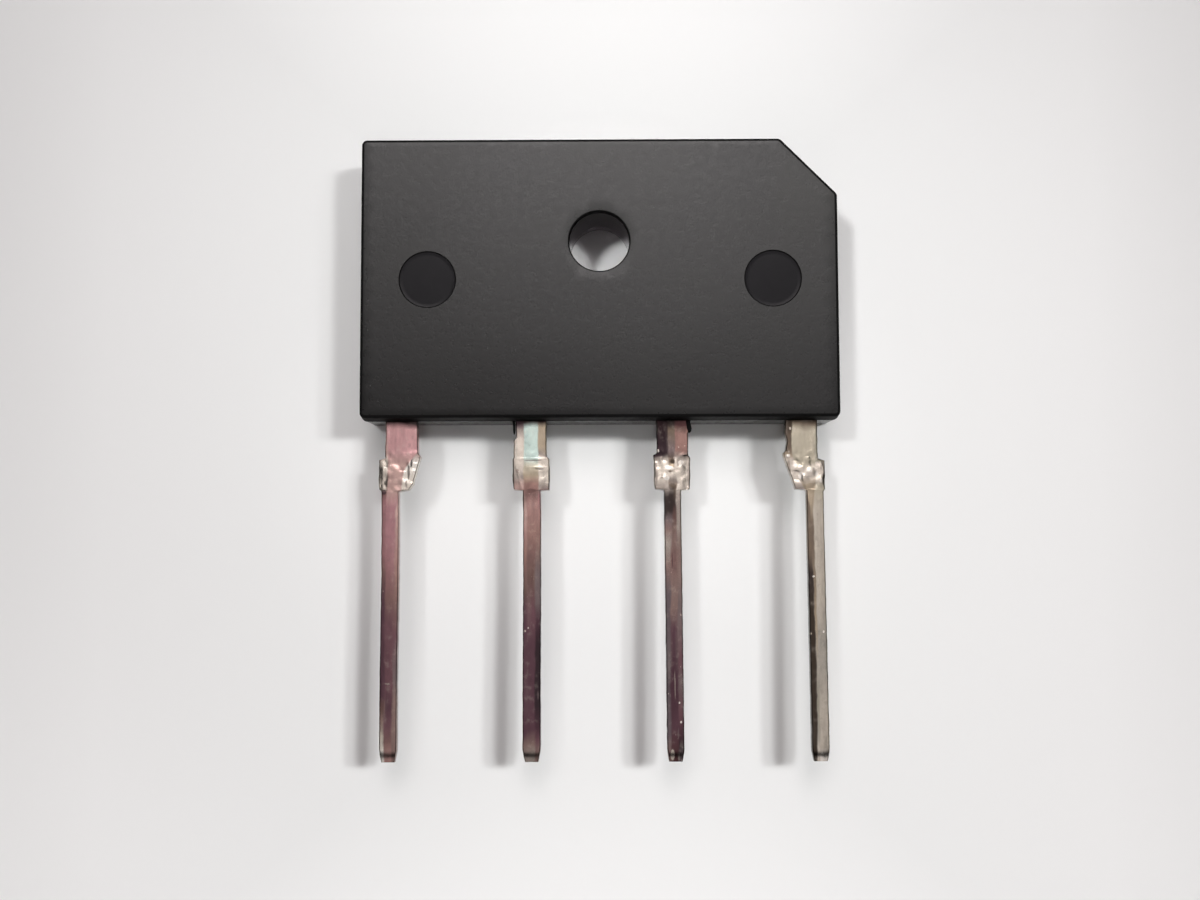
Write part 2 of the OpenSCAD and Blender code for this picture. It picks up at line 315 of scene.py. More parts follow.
def build_body():
    verts, faces, fmat = [], [], []

    def add_ring(pts, z):
        s = len(verts)
        verts.extend((p[0], p[1], z) for p in pts)
        return list(range(s, s + len(pts)))

    def bridge(a, b, zone=0):
        n = len(a)
        for i in range(n):
            faces.append((a[i], a[(i + 1) % n], b[(i + 1) % n], b[i]))
            fmat.append(zone)

    rim = 0.14
    e_bot = SLOPE_LOW * PART_Z
    levels = []
    for k in range(5):                       # lower rim, from the resting face outward
        a = math.pi / 2 * k / 4
        z = rim * (1 - math.cos(a))
        levels.append((z, e_bot - SLOPE_LOW * z + rim * (1 - math.sin(a))))
    for z in (0.6, 1.3, 2.0, 2.7, 3.1, 3.34):
        levels.append((z, SLOPE_LOW * (PART_Z - z) + 0.012))
    levels.append((3.375, 0.012))
    levels.append((3.39, 0.0))
    levels.append((3.41, 0.0))
    levels.append((3.425, 0.014))
    for z in (3.6, 3.9, 4.2):
        levels.append((z, SLOPE_UP * (z - PART_Z) + 0.014))
    for k in range(6):                       # upper rim
        a = math.pi / 2 * k / 5
        z = TOP_Z - rim * (1 - math.sin(a))
        levels.append((z, SLOPE_UP * (z - PART_Z) + 0.014 + rim * (1 - math.cos(a))))
    rings = [add_ring(outline(e, 0.006 if 3.38 < z < 3.42 else 0.0, 3), z) for z, e in levels]
    for k, (a, b) in enumerate(zip(rings, rings[1:])):
        z = (levels[k][0] + levels[k + 1][0]) / 2
        bridge(a, b, UPPER if z > PART_Z - 0.03 else LOWER)

    def circle(cx, cy, r, z, n):
        return add_ring([(cx + r * math.cos(2 * math.pi * i / n), cy + r * math.sin(2 * math.pi * i / n)) for i in range(n)], z)

    # the bore: rounded mouths, a faint flash line at the parting plane
    n = 72
    bore = []
    br = 0.07
    for k in range(5):
        a = math.pi / 2 * k / 4
        bore.append((TOP_Z - br * (1 - math.cos(a)), BORE_R + br * (1 - math.sin(a))))
    bore += [(4.1, BORE_R + 0.002), (3.7, BORE_R + 0.002), (3.41, BORE_R + 0.001), (3.39, BORE_R + 0.001), (3.1, BORE_R + 0.002), (2.2, BORE_R + 0.002), (1.0, BORE_R + 0.001)]
    for k in range(5):
        a = math.pi / 2 * (1 - k / 4)
        bore.append((br * (1 - math.cos(a)), BORE_R + br * (1 - math.sin(a))))
    brings = [circle(0, 0, r, z, n) for z, r in bore]
    for k, (a, b) in enumerate(zip(brings, brings[1:])):
        bridge(a, b, UPPER if k < 5 else BORE)

    # ejector-pin marks: a shallow step with a soft edge
    marks = []
    for cx in (-8.95, 9.03):
        prof = [(TOP_Z, 1.5), (TOP_Z - 0.012, 1.488), (TOP_Z - 0.045, 1.474), (TOP_Z - 0.062, 1.462), (TOP_Z - 0.068, 1.44), (TOP_Z - 0.066, 1.25), (TOP_Z - 0.064, 0.9), (TOP_Z - 0.063, 0.5), (TOP_Z - 0.062, 0.2)]
        rr = [circle(cx, -2.0, r, z, 60) for z, r in prof]
        for k, (a, b) in enumerate(zip(rr, rr[1:])):
            bridge(a, b, UPPER if k < 4 else MARK)
        verts.append((cx, -2.0, TOP_Z - 0.062))
        c = len(verts) - 1
        last = rr[-1]
        for i in range(60):
            faces.append((last[i], last[(i + 1) % 60], c))
            fmat.append(MARK)
        marks.append(rr[0])

    def face(outer, holes, z, up):
        """A flat face with holes, finely triangulated."""
        ids = list(outer)
        loops = [list(range(len(outer)))]
        for h in holes:
            loops.append(list(range(len(ids), len(ids) + len(h))))
            ids += h
        pts = [Vector((verts[i][0], verts[i][1])) for i in ids]
        edges = []
        for lp in loops:
            edges += [(lp[i], lp[(i + 1) % len(lp)]) for i in range(len(lp))]
        rnd = random.Random(5)
        extra = []
        y = NEAR_Y + 0.6
        row = 0
        while y < FAR_Y - 0.4:
            x = -HALF_W + 0.6 + (0.3 if row % 2 else 0.0)
            while x < HALF_W - 0.5:
                px, py = x + rnd.uniform(-0.06, 0.06), y + rnd.uniform(-0.06, 0.06)
                ok = px + py < HALF_W + FAR_Y - CUT - 0.8
                ok = ok and math.hypot(px, py) > BORE_R + 0.35
                if up:
                    ok = ok and all(math.hypot(px - c, py + 2.0) > 1.75 for c in (-8.95, 9.03))
                if ok:
                    extra.append(Vector((px, py)))
                x += 0.6
            y += 0.55
            row += 1
        base = len(pts)
        res = geometry.delaunay_2d_cdt(pts + extra, edges, [], 0, 1e-7)
        out_v, out_f, orig = res[0], res[2], res[3]
        remap = []
        for k, p in enumerate(out_v):
            src = [o for o in orig[k] if o < base]
            if src:
                remap.append(ids[src[0]])
            else:
                dz = 0.0035 * noise.noise(Vector((p.x * 0.22, p.y * 0.22, 1.5 if up else 9.5)))
                verts.append((p.x, p.y, z + (min(dz, 0.0) if up else max(dz, 0.0))))
                remap.append(len(verts) - 1)

        def within(p, loop):
            c, j = False, len(loop) - 1
            for i in range(len(loop)):
                (x1, y1), (x2, y2) = loop[i], loop[j]
                if (y1 > p[1]) != (y2 > p[1]) and p[0] < (x2 - x1) * (p[1] - y1) / (y2 - y1) + x1:
                    c = not c
                j = i
            return c

        loops_xy = [[(verts[ids[i]][0], verts[ids[i]][1]) for i in lp] for lp in loops]
        for f in out_f:
            p = [out_v[i] for i in f]
            if abs((p[1] - p[0]).cross(p[2] - p[0])) < 2e-6:
                continue
            c = ((p[0].x + p[1].x + p[2].x) / 3, (p[0].y + p[1].y + p[2].y) / 3)
            if not within(c, loops_xy[0]) or any(within(c, h) for h in loops_xy[1:]):
                continue
            q = [remap[i] for i in f]
            a, b, d = (Vector(verts[q[0]]), Vector(verts[q[1]]), Vector(verts[q[2]]))
            nz = (b - a).cross(d - a).z
            if (nz > 0) != up:
                q = q[::-1]
            faces.append(tuple(q))
            fmat.append(0)

    def sliver(rows):
        """A thread of mould flash hanging from the wall: rows of (Y, X from, X to, Z from, Z to)."""
        rs = []
        for y, xa, xb, za, zb in rows:
            s = len(verts)
            xm, zm = (xa + xb) / 2, (za + zb) / 2
            verts.extend([(xa, y, zm), (xa * 0.85 + xb * 0.15, y, zb * 0.95 + za * 0.05), (xm, y, zb), (xb * 0.85 + xa * 0.15, y, zb * 0.95 + za * 0.05), (xb, y, zm), (xb * 0.8 + xa * 0.2, y, za), (xa * 0.8 + xb * 0.2, y, za)])
            rs.append(list(range(s, s + 7)))
        for a, b in zip(rs, rs[1:]):
            bridge(a, b, UPPER)
        faces.append(tuple(rs[0][::-1]))
        faces.append(tuple(rs[-1]))
        fmat.extend([UPPER, UPPER])

    sliver([(-9.22, -4.60, -4.42, 3.30, 3.42), (-9.35, -4.57, -4.43, 3.28, 3.425), (-9.55, -4.545, -4.425, 3.27, 3.42), (-9.78, -4.54, -4.42, 3.28, 3.425), (-9.93, -4.525, -4.43, 3.30, 3.42), (-10.0, -4.50, -4.45, 3.33, 3.40)])
    sliver([(-9.22, 4.50, 4.78, 3.28, 3.43), (-9.36, 4.47, 4.72, 3.28, 3.435), (-9.52, 4.50, 4.76, 3.27, 3.44), (-9.72, 4.53, 4.80, 3.28, 3.44), (-9.86, 4.58, 4.77, 3.30, 3.43), (-9.94, 4.63, 4.70, 3.33, 3.41)])
    face(rings[-1], [brings[0]] + marks, TOP_Z, True)
    face(rings[0], [brings[-1]], 0.0, False)
    return make_object("moulded_body", verts, faces, epoxy_materials(), fmat, 35.0)


# ---------------------------------------------------------------- the leads
def lerp_keys(keys, t):
    """keys: (t, value) sorted by t; a value may be a number"""
    if t <= keys[0][0]:
        return keys[0][1]
    for (a, va), (b, vb) in zip(keys, keys[1:]):
        if t <= b:
            return va + (vb - va) * (t - a) / (b - a) if b > a else vb
    return keys[-1][1]


# For each lead: the narrow part's centre line, then left and right sides and the pad, all
# as (distance down from the top of the drawing in Y, X) keys.
LEADS = {
    "lead_negative": dict(
        xc=[(-27.0, -10.942), (-22.0, -10.952), (-17.5, -10.925), (-14.0, -10.940), (-12.5, -10.966), (-11.0, -10.972)], half=0.450,
        left=[(-12.92, -0.475), (-12.86, -0.575), (-12.3, -0.60), (-11.32, -0.585), (-11.22, -0.25), (-9.0, -0.24)],
        right=[(-12.98, 0.47), (-12.88, 0.98), (-12.6, 1.19), (-12.1, 1.33), (-11.6, 1.47), (-11.15, 1.60), (-10.95, 1.47), (-9.0, 1.43)],
        pad_l=[(NEAR_Y + 0.3, -11.21), (4.0, -11.3)],
        pad_r=[(NEAR_Y + 0.3, -9.54), (4.0, -9.64)], top=4.0),
    "lead_ac_2": dict(
        xc=[(-27.0, -3.556), (-23.0, -3.566), (-18.0, -3.545), (-14.0, -3.552), (-12.5, -3.580), (-11.0, -3.587)], half=0.466,
        left=[(-12.94, -0.475), (-12.88, -0.93), (-12.2, -0.99), (-11.3, -0.97), (-11.2, -0.93), (-10.3, -0.93), (-10.15, -0.80), (-9.0, -0.82)],
        right=[(-12.95, 0.475), (-12.9, 0.93), (-12.2, 0.97), (-11.3, 0.95), (-11.15, 0.80), (-9.0, 0.78)],
        pad_l=[(NEAR_Y + 0.3, -4.41), (-7.72, -4.43), (-7.7, -9.0), (4.6, -9.0)],
        pad_r=[(NEAR_Y + 0.3, -2.81), (-7.72, -2.87), (-7.7, -1.0), (-3.02, -1.0), (-3.0, -3.2), (4.6, -3.2)], top=4.6),
    "lead_ac_1": dict(
        xc=[(-27.0, 3.850), (-22.0, 3.822), (-18.0, 3.806), (-14.5, 3.775), (-11.0, 3.765)], half=0.446,
        left=[(-12.93, -0.475), (-12.87, -0.92), (-12.3, -0.96), (-11.35, -0.97), (-11.1, -0.98), (-11.0, -0.80), (-9.0, -0.82)],
        right=[(-12.94, 0.475), (-12.9, 0.90), (-12.2, 0.95), (-11.25, 0.94), (-11.12, 0.84), (-9.95, 0.83), (-9.85, 0.90), (-9.6, 0.92), (-9.5, 0.83), (-9.0, 0.83)],
        pad_l=[(NEAR_Y + 0.3, 2.95), (-7.72, 2.87), (-7.7, 1.0), (-3.0, 1.0)],
        pad_r=[(NEAR_Y + 0.3, 4.59), (-7.72, 4.53), (-7.7, 9.0), (-3.0, 9.0)], top=-3.0),
    "lead_positive": dict(
        xc=[(-27.0, 11.288), (-22.0, 11.258), (-18.0, 11.228), (-14.0, 11.198), (-11.0, 11.185)], half=0.448,
        left=[(-12.95, -0.475), (-12.9, -1.02), (-12.4, -1.18), (-11.8, -1.38), (-11.2, -1.60), (-11.0, -1.62), (-10.9, -1.50), (-10.4, -1.42), (-9.9, -1.53), (-9.0, -1.47)],
        right=[(-12.96, 0.475), (-12.9, 0.52), (-12.2, 0.54), (-11.42, 0.53), (-11.3, 0.18), (-9.0, 0.17)],
        pad_l=[(NEAR_Y + 0.3, 9.72), (0.18, 9.66), (0.2, 3.2), (4.6, 3.2)],
        pad_r=[(NEAR_Y + 0.3, 11.36), (2.35, 11.3), (4.6, 9.3)], top=4.6),
}


def smooth(lo, hi, v):
    t = min(1.0, max(0.0, (v - lo) / (hi - lo)))
    return t * t * (3 - 2 * t)


def hill(x, y, cx, cy, rx, ry):
    d = ((x - cx) / rx) ** 2 + ((y - cy) / ry) ** 2
    return math.exp(-d) if d < 9 else 0.0


def cells(x, y, seed, size, slope):
    """Height of a surface broken into small facets that lean this way and that."""
    best, pick = None, None
    ix, iy = math.floor(x / size), math.floor(y / size)
    for dx in (-1, 0, 1):
        for dy in (-1, 0, 1):
            r = random.Random(seed * 7919 + (ix + dx) * 131 + (iy + dy) * 977)
            cx, cy = (ix + dx + r.random()) * size, (iy + dy + r.random()) * size
            h = r.uniform(-1, 1) * slope * (x - cx) + r.uniform(-1, 1) * slope * (y - cy)
            h -= ((x - cx) ** 2 + (y - cy) ** 2) * slope * 1.6
            if best is None or h > best:
                best = h
    return best


# What was left where the tie bar between the leads was cut off. edge_l and edge_r are the
# borders of the flat middle as (Y, X) keys from the lead's centre line; hills are
# (X, Y, radius X, radius Y, height) lumps of tin.
COLLARS = {
    "lead_negative": dict(
        edge_l=[(-12.95, -0.13), (-12.0, -0.10), (-11.3, -0.14), (-11.1, -0.6)],
        edge_r=[(-12.95, 0.62), (-12.2, 0.70), (-11.75, 0.80), (-11.3, 1.14), (-10.95, 1.42), (-10.85, 2.0)],
        drop=0.010, rough=0.016, grit=0.26, seed=11,
        hills=[(-0.36, -12.1, 0.12, 0.9, 0.035), (0.78, -12.45, 0.10, 0.5, 0.05), (1.02, -11.75, 0.10, 0.45, 0.05), (1.30, -11.35, 0.08, 0.25, 0.03)]),
    "lead_ac_2": dict(
        edge_l=[(-12.95, -0.52), (-12.4, -0.62), (-11.8, -0.80), (-11.2, -0.84), (-10.6, -0.9), (-10.0, -1.2)],
        edge_r=[(-12.95, 0.52), (-12.4, 0.66), (-11.8, 0.80), (-11.2, 0.86), (-11.05, 1.2)],
        drop=0.006, rough=0.010, grit=0.12, seed=12,
        hills=[(0.05, -11.27, 0.55, 0.045, 0.022), (0.35, -11.72, 0.34, 0.04, 0.024), (0.45, -11.95, 0.30, 0.06, 0.012), (-0.70, -10.7, 0.14, 0.3, 0.02), (-0.66, -11.5, 0.12, 0.25, 0.02), (0.62, -11.35, 0.12, 0.2, 0.02), (0.0, -12.6, 0.35, 0.3, 0.012)]),
    "lead_ac_1": dict(
        edge_l=[(-12.95, -0.30), (-12.4, -0.52), (-11.9, -0.30), (-11.4, -0.16), (-11.05, -0.42), (-10.6, -0.75), (-10.2, -1.2)],
        edge_r=[(-12.95, 0.36), (-12.4, 0.52), (-11.9, 0.30), (-11.4, 0.22), (-11.15, 0.45), (-11.0, 1.2)],
        drop=0.004, rough=0.016, grit=0.20, seed=13,
        hills=[(-0.42, -12.30, 0.17, 0.24, 0.050), (-0.20, -11.85, 0.22, 0.16, 0.045), (0.42, -11.60, 0.20, 0.2, 0.040), (0.25, -12.05, 0.20, 0.14, 0.040), (0.50, -12.45, 0.16, 0.22, 0.045), (-0.56, -11.45, 0.14, 0.18, 0.030), (-0.84, -12.0, 0.09, 0.7, 0.020), (0.84, -12.0, 0.09, 0.7, 0.020), (-0.74, -10.86, 0.10, 0.10, 0.05), (0.02, -11.55, 0.10, 0.12, -0.030), (0.0, -11.98, 0.06, 0.08, -0.02)]),
    "lead_positive": dict(
        edge_l=[(-12.95, -0.45), (-12.4, -0.62), (-11.8, -0.62), (-11.5, -0.70), (-11.1, -1.08), (-10.9, -1.30), (-10.6, -2.0)],
        edge_r=[(-12.95, 0.44), (-12.0, 0.40), (-11.4, 0.36), (-11.3, 1.0)],
        drop=0.010, rough=0.018, grit=0.26, seed=14,
        hills=[(-0.62, -12.35, 0.22, 0.24, 0.045), (-0.20, -12.0, 0.24, 0.16, 0.035), (-0.80, -11.85, 0.16, 0.22, 0.040), (-1.20, -11.45, 0.12, 0.16, 0.035), (-1.42, -11.2, 0.08, 0.10, 0.040), (0.22, -11.75, 0.16, 0.20, 0.030), (0.30, -12.35, 0.14, 0.22, 0.030), (-0.25, -12.6, 0.25, 0.16, 0.025), (-1.30, -9.75, 0.07, 0.07, 0.03)]),
}


def relief(name, rel, y):
    c = COLLARS[name]
    near = smooth(-13.12, -12.86, y) * (1.0 - smooth(-11.1, -10.7, y))
    h = 0.0
    for cx, cy, rx, ry, k in c["hills"]:
        h += 0.30 * k * hill(rel, y, cx, cy, rx, ry)
    h *= max(near, 1.0 - smooth(-13.0, -9.4, -y - 22.4)) if y > -11.1 else near
    if near > 0.0 or y > -11.3:
        l, r = lerp_keys(c["edge_l"], y), lerp_keys(c["edge_r"], y)
        side = max(l - rel, rel - r)
        ear = smooth(-0.03, 0.08, side) * smooth(-13.0, -12.93, y)
        h -= ear * (c["drop"] + 0.05 * max(0.0, side))
        g = cells(rel, y, c["seed"], 0.26, 0.30 * c["grit"])
        h += ear * g + near * 0.30 * cells(rel + 5.0, y, c["seed"] + 3, 0.34, 0.5 * c["grit"]) * (1 - ear)
        h += near * 0.5 * c["rough"] * noise.noise(Vector((rel * 3.0, y * 3.0, c["seed"] * 1.7)))
    return h


def build_lead(name, d, mat, seed):
    tip_len, tip_half, tip_bevel = 0.66, 0.35, 0.13
    ys = []
    y = TIP_Y
    while y < NEAR_Y - 0.02:
        ys.append(y)
        y += 0.055 if y < TIP_Y + 0.8 else 0.09 if y < -13.1 else 0.05 if y < -10.7 else 0.08
    y = NEAR_Y
    while y < d["top"] - 0.05:
        ys.append(y)
        y += 0.35
    ys.append(d["top"])
    for keys in (d["left"], d["right"], d["pad_l"], d["pad_r"]):
        ys += [k for k, _ in keys if TIP_Y < k < d["top"] and (k > NEAR_Y) == (keys in (d["pad_l"], d["pad_r"]))]
    ys = sorted(set(round(v, 3) for v in ys))
    top_n, side_n, bot_n = 40, 4, 12
    rnd = random.Random(seed)
    verts, faces = [], []
    rings = []
    for y in ys:
        xc = lerp_keys(d["xc"], y)
        if y > NEAR_Y + 0.2:
            xl, xr = lerp_keys(d["pad_l"], y), lerp_keys(d["pad_r"], y)
        else:
            l = lerp_keys(d["left"], y) if y > -12.99 else -d["half"]
            r = lerp_keys(d["right"], y) if y > -12.99 else d["half"]
            if y < TIP_Y + tip_len:
                t = (TIP_Y + tip_len - y) / tip_len
                s = (d["half"] + (tip_half - d["half"]) * t ** 1.3) / d["half"]
                l, r = l * s, r * s
            edge = 0.012 if y < -13 else 0.02
            wl = edge * noise.noise(Vector((y * 1.9, seed * 3.1, 0.3))) + 0.5 * edge * noise.noise(Vector((y * 7.0, seed * 5.1, 1.3)))
            wr = edge * noise.noise(Vector((y * 1.9, seed * 4.7, 8.3))) + 0.5 * edge * noise.noise(Vector((y * 7.0, seed * 2.9, 5.3)))
            if y > NEAR_Y - 0.1:
                wl = wr = 0.0
            xl, xr = xc + l + wl, xc + r + wr
        outside = y < NEAR_Y
        rise = 0.26 * max(0.0, (-11.3 - y) / 15.6) ** 1.2
        zt, zb = LEAD_HI + rise, LEAD_LO + rise
        tipt = max(0.0, (TIP_Y + tip_len - y) / tip_len)
        w = xr - xl
        er = 0.055 if outside else 0.03
        ring = []
        # top, left to right
        for i in range(top_n + 1):
            u = i / top_n
            # closer points near both edges
            uu = 0.5 - 0.5 * math.cos(math.pi * u)
            uu = 0.55 * uu + 0.45 * u
            x = xl + er + (w - 2 * er) * uu
            z = zt
            if outside:
                fade = min(1.0, (NEAR_Y - y) / 0.25)
                k = (x - (xl + xr) / 2) / (w / 2)
                rel = x - xc
                z -= fade * 0.010 * k * k * min(1.0, 0.95 / w + 0.2)
                z += fade * 0.007 * noise.noise(Vector((x * 1.8, y * 0.6, seed * 2.0)))
                z += fade * 0.0022 * noise.noise(Vector((x * 6.0, y * 2.2, seed * 5.0)))
                if y > -13.15:
                    z += fade * relief(name, rel, y)
                if tipt > 0:
                    z -= tip_bevel * tipt ** 2.4
            ring.append((x, y, z))
        zr = ring[-1][2]
        zl = ring[0][2]
        lo = zb + (tip_bevel * tipt ** 2.4 if tipt > 0 else 0.0)
        # right side, rounded shoulders
        for i in range(1, side_n):
            a = math.pi / 2 * i / side_n
            ring.append((xr - er + er * math.sin(a), y, zr - er * (1 - math.cos(a))))
        ring.append((xr, y, (zr - er + lo + er) / 2))
        for i in range(side_n):
            a = math.pi / 2 * i / side_n
            ring.append((xr - er + er * math.cos(a), y, lo + er * (1 - math.sin(a))))
        for i in range(bot_n + 1):
            u = i / bot_n
            ring.append((xr - er - (w - 2 * er) * u, y, lo))
        for i in range(side_n):
            a = math.pi / 2 * (i + 1) / side_n
            ring.append((xl + er - er * math.sin(a), y, lo + er * (1 - math.cos(a))))
        ring.append((xl, y, (zl - er + lo + er) / 2))
        for i in range(1, side_n):
            a = math.pi / 2 * i / side_n
            ring.append((xl + er - er * math.cos(a), y, zl - er * (1 - math.sin(a))))
        s = len(verts)
        verts.extend(ring)
        rings.append(list(range(s, s + len(ring))))
    n = len(rings[0])
    for a, b in zip(rings, rings[1:]):
        for i in range(n):
            faces.append((a[i], b[i], b[(i + 1) % n], a[(i + 1) % n]))
    faces = [f[::-1] for f in faces]
    for ring, flip in ((rings[0], False), (rings[-1], True)):
        c = [sum(verts[i][k] for i in ring) / n for k in range(3)]
        if not flip:
            c[1] -= 0.0
        verts.append(tuple(c))
        ci = len(verts) - 1
        for i in range(n):
            f = (ring[i], ring[(i + 1) % n], ci)
            faces.append(f if flip else f[::-1])
    return make_object(name + "_detail", verts, faces, [mat], None, 48.0)


Y_LO, Y_HI = -27.2, -8.8

# Painted reflection: base-colour tints for the tinned leads that stand in for the room mirrored in the metal; the
# palest tints are painted highlights, the darkest painted dark reflection and, at the leads' roots, painted shade
PAINTED_REFLECTION_TINTS = dict(
    rose=(196, 154, 154), blush=(194, 164, 156), petal=(170, 128, 132), mauve=(158, 118, 120), dusk=(172, 138, 132), tawny=(128, 100, 96),
    plum=(96, 70, 78), prune=(114, 84, 90), mulberry=(84, 60, 68), umber=(112, 88, 82), mocha=(88, 62, 62), taupe=(138, 116, 110),
    stone=(160, 150, 142), cream=(222, 213, 200), painted_highlight=(242, 237, 228), charcoal=(62, 54, 52), teal=(202, 222, 214), khaki=(176, 162, 141),
    olive=(172, 168, 152), sand=(192, 185, 166), linen=(196, 188, 174), fog=(176, 171, 160), bark=(122, 108, 94), dark_bark=(68, 60, 52),
    ink=(62, 50, 54), shade=(48, 36, 38), copper=(156, 124, 116), pewter=(118, 104, 104), slate=(98, 87, 91), lead_grey=(108, 97, 100))


def y_pos(y):
    return (y - Y_LO) / (Y_HI - Y_LO)


def lead_material(name, xc, left, mid, right, b1, b2, spots, seed, soft=0.06, wob=0.05):
    """Solder-dipped copper whose base colour carries painted reflection. left, mid and right are painted reflection
    tints along Y, ending in painted shade at the root by the body;
    b1 and b2 are the X places, from the lead's centre line, of the borders between them; spots are painted highlights
    and painted reflection in patches, as (X, Y, radius X, radius Y, tint, strength)."""
    m = Mat(name)
    u = m.remap(m.y, Y_LO * MM, Y_HI * MM)
    wv = m.noise(420.0, 3.0, 0.6, vec=m.stretch(1.0, 1.0, 1.0, (seed * 0.013, seed * 0.007, 0.0)))
    fine = m.noise(2400.0, 3.0, 0.65, vec=m.stretch(1.0, 0.45, 1.0, (seed * 0.011, 0.0, 0.0)))
    u = m.math("ADD", u, m.remap(wv, 0.3, 0.7, -0.010, 0.010))
    x0 = m.math("SUBTRACT", m.math("MULTIPLY", m.x, 1000.0), xc)
    y0 = m.math("MULTIPLY", m.y, 1000.0)
    x = m.math("ADD", x0, m.remap(wv, 0.3, 0.7, -wob, wob))
    x = m.math("ADD", x, m.remap(fine, 0.3, 0.7, -wob * 0.4, wob * 0.4))

    def col(stops):
        return m.ramp(u, [(y_pos(y), srgb(*PAINTED_REFLECTION_TINTS[c])) for y, c in stops])

    def border(stops):
        r = m.ramp(u, [(y_pos(y), (v + 2.0) / 4.0) for y, v in stops])
        v = m.remap(r, 0.0, 1.0, -2.0, 2.0)
        return m.remap(m.math("SUBTRACT", x, v), -soft, soft, 0.0, 1.0, smooth=True)

    c = m.mix(border(b1), col(left), col(mid))
    c = m.mix(border(b2), c, col(right))
    # light and dark streaks and mottle: uneven tinning, with painted reflection in their pale and dark tones
    streak = m.noise(1500.0, 3.0, 0.6, vec=m.stretch(1.0, 0.12, 1.0, (seed * 0.017, 0.0, 0.0)))
    c = m.mix(m.remap(streak, 0.54, 0.80, 0.0, 0.20), c, srgb(196, 184, 174))
    c = m.mix(m.remap(streak, 0.22, 0.46, 0.24, 0.0), c, srgb(40, 30, 32))
    mott = m.noise(3000.0, 3.0, 0.6, vec=m.stretch(1.0, 0.8, 1.0, (seed * 0.023, 0.0, 0.0)))
    c = m.mix(m.remap(mott, 0.55, 0.75, 0.0, 0.18), c, srgb(214, 204, 192))
    c = m.mix(m.remap(mott, 0.25, 0.45, 0.16, 0.0), c, srgb(60, 50, 48))
    # painted highlights and painted reflection in patches: the pale spots are glints on facets and specks, the dark
    # ones mirrored dark surroundings
    for sx, sy, rx, ry, tint, k in spots:
        dx = m.math("DIVIDE", m.math("SUBTRACT", m.math("ADD", x0, m.remap(fine, 0.3, 0.7, -0.02, 0.02)), sx), rx)
        dy = m.math("DIVIDE", m.math("SUBTRACT", m.math("ADD", y0, m.remap(fine, 0.3, 0.7, -0.03, 0.03)), sy), ry)
        d2 = m.math("ADD", m.math("MULTIPLY", dx, dx), m.math("MULTIPLY", dy, dy))
        c = m.mix(m.remap(d2, 0.45, 1.2, k, 0.0, smooth=True), c, srgb(*PAINTED_REFLECTION_TINTS[tint]))
    # painted highlights: pale specks standing in for glints
    painted_glint_speck = m.noise(5200.0, 2.0, 0.7, vec=m.stretch(1.0, 0.6, 1.0, (seed * 0.019, 0.0, 0.0)))
    c = m.mix(m.remap(painted_glint_speck, 0.71, 0.76, 0.0, 0.6), c, srgb(222, 214, 204))
    m.set("Base Color", c)
    m.set("Metallic", 1.0)
    m.set("Roughness", m.remap(fine, 0.3, 0.7, 0.15, 0.26))
    b = m.bump(m.noise(900.0, 3.0, 0.55, vec=m.stretch(1.0, 0.35, 1.0)), 0.000012, 0.3)
    b = m.bump(fine, 0.000006, 0.35, under=b)
    m.set("Normal", b)
    return m.m


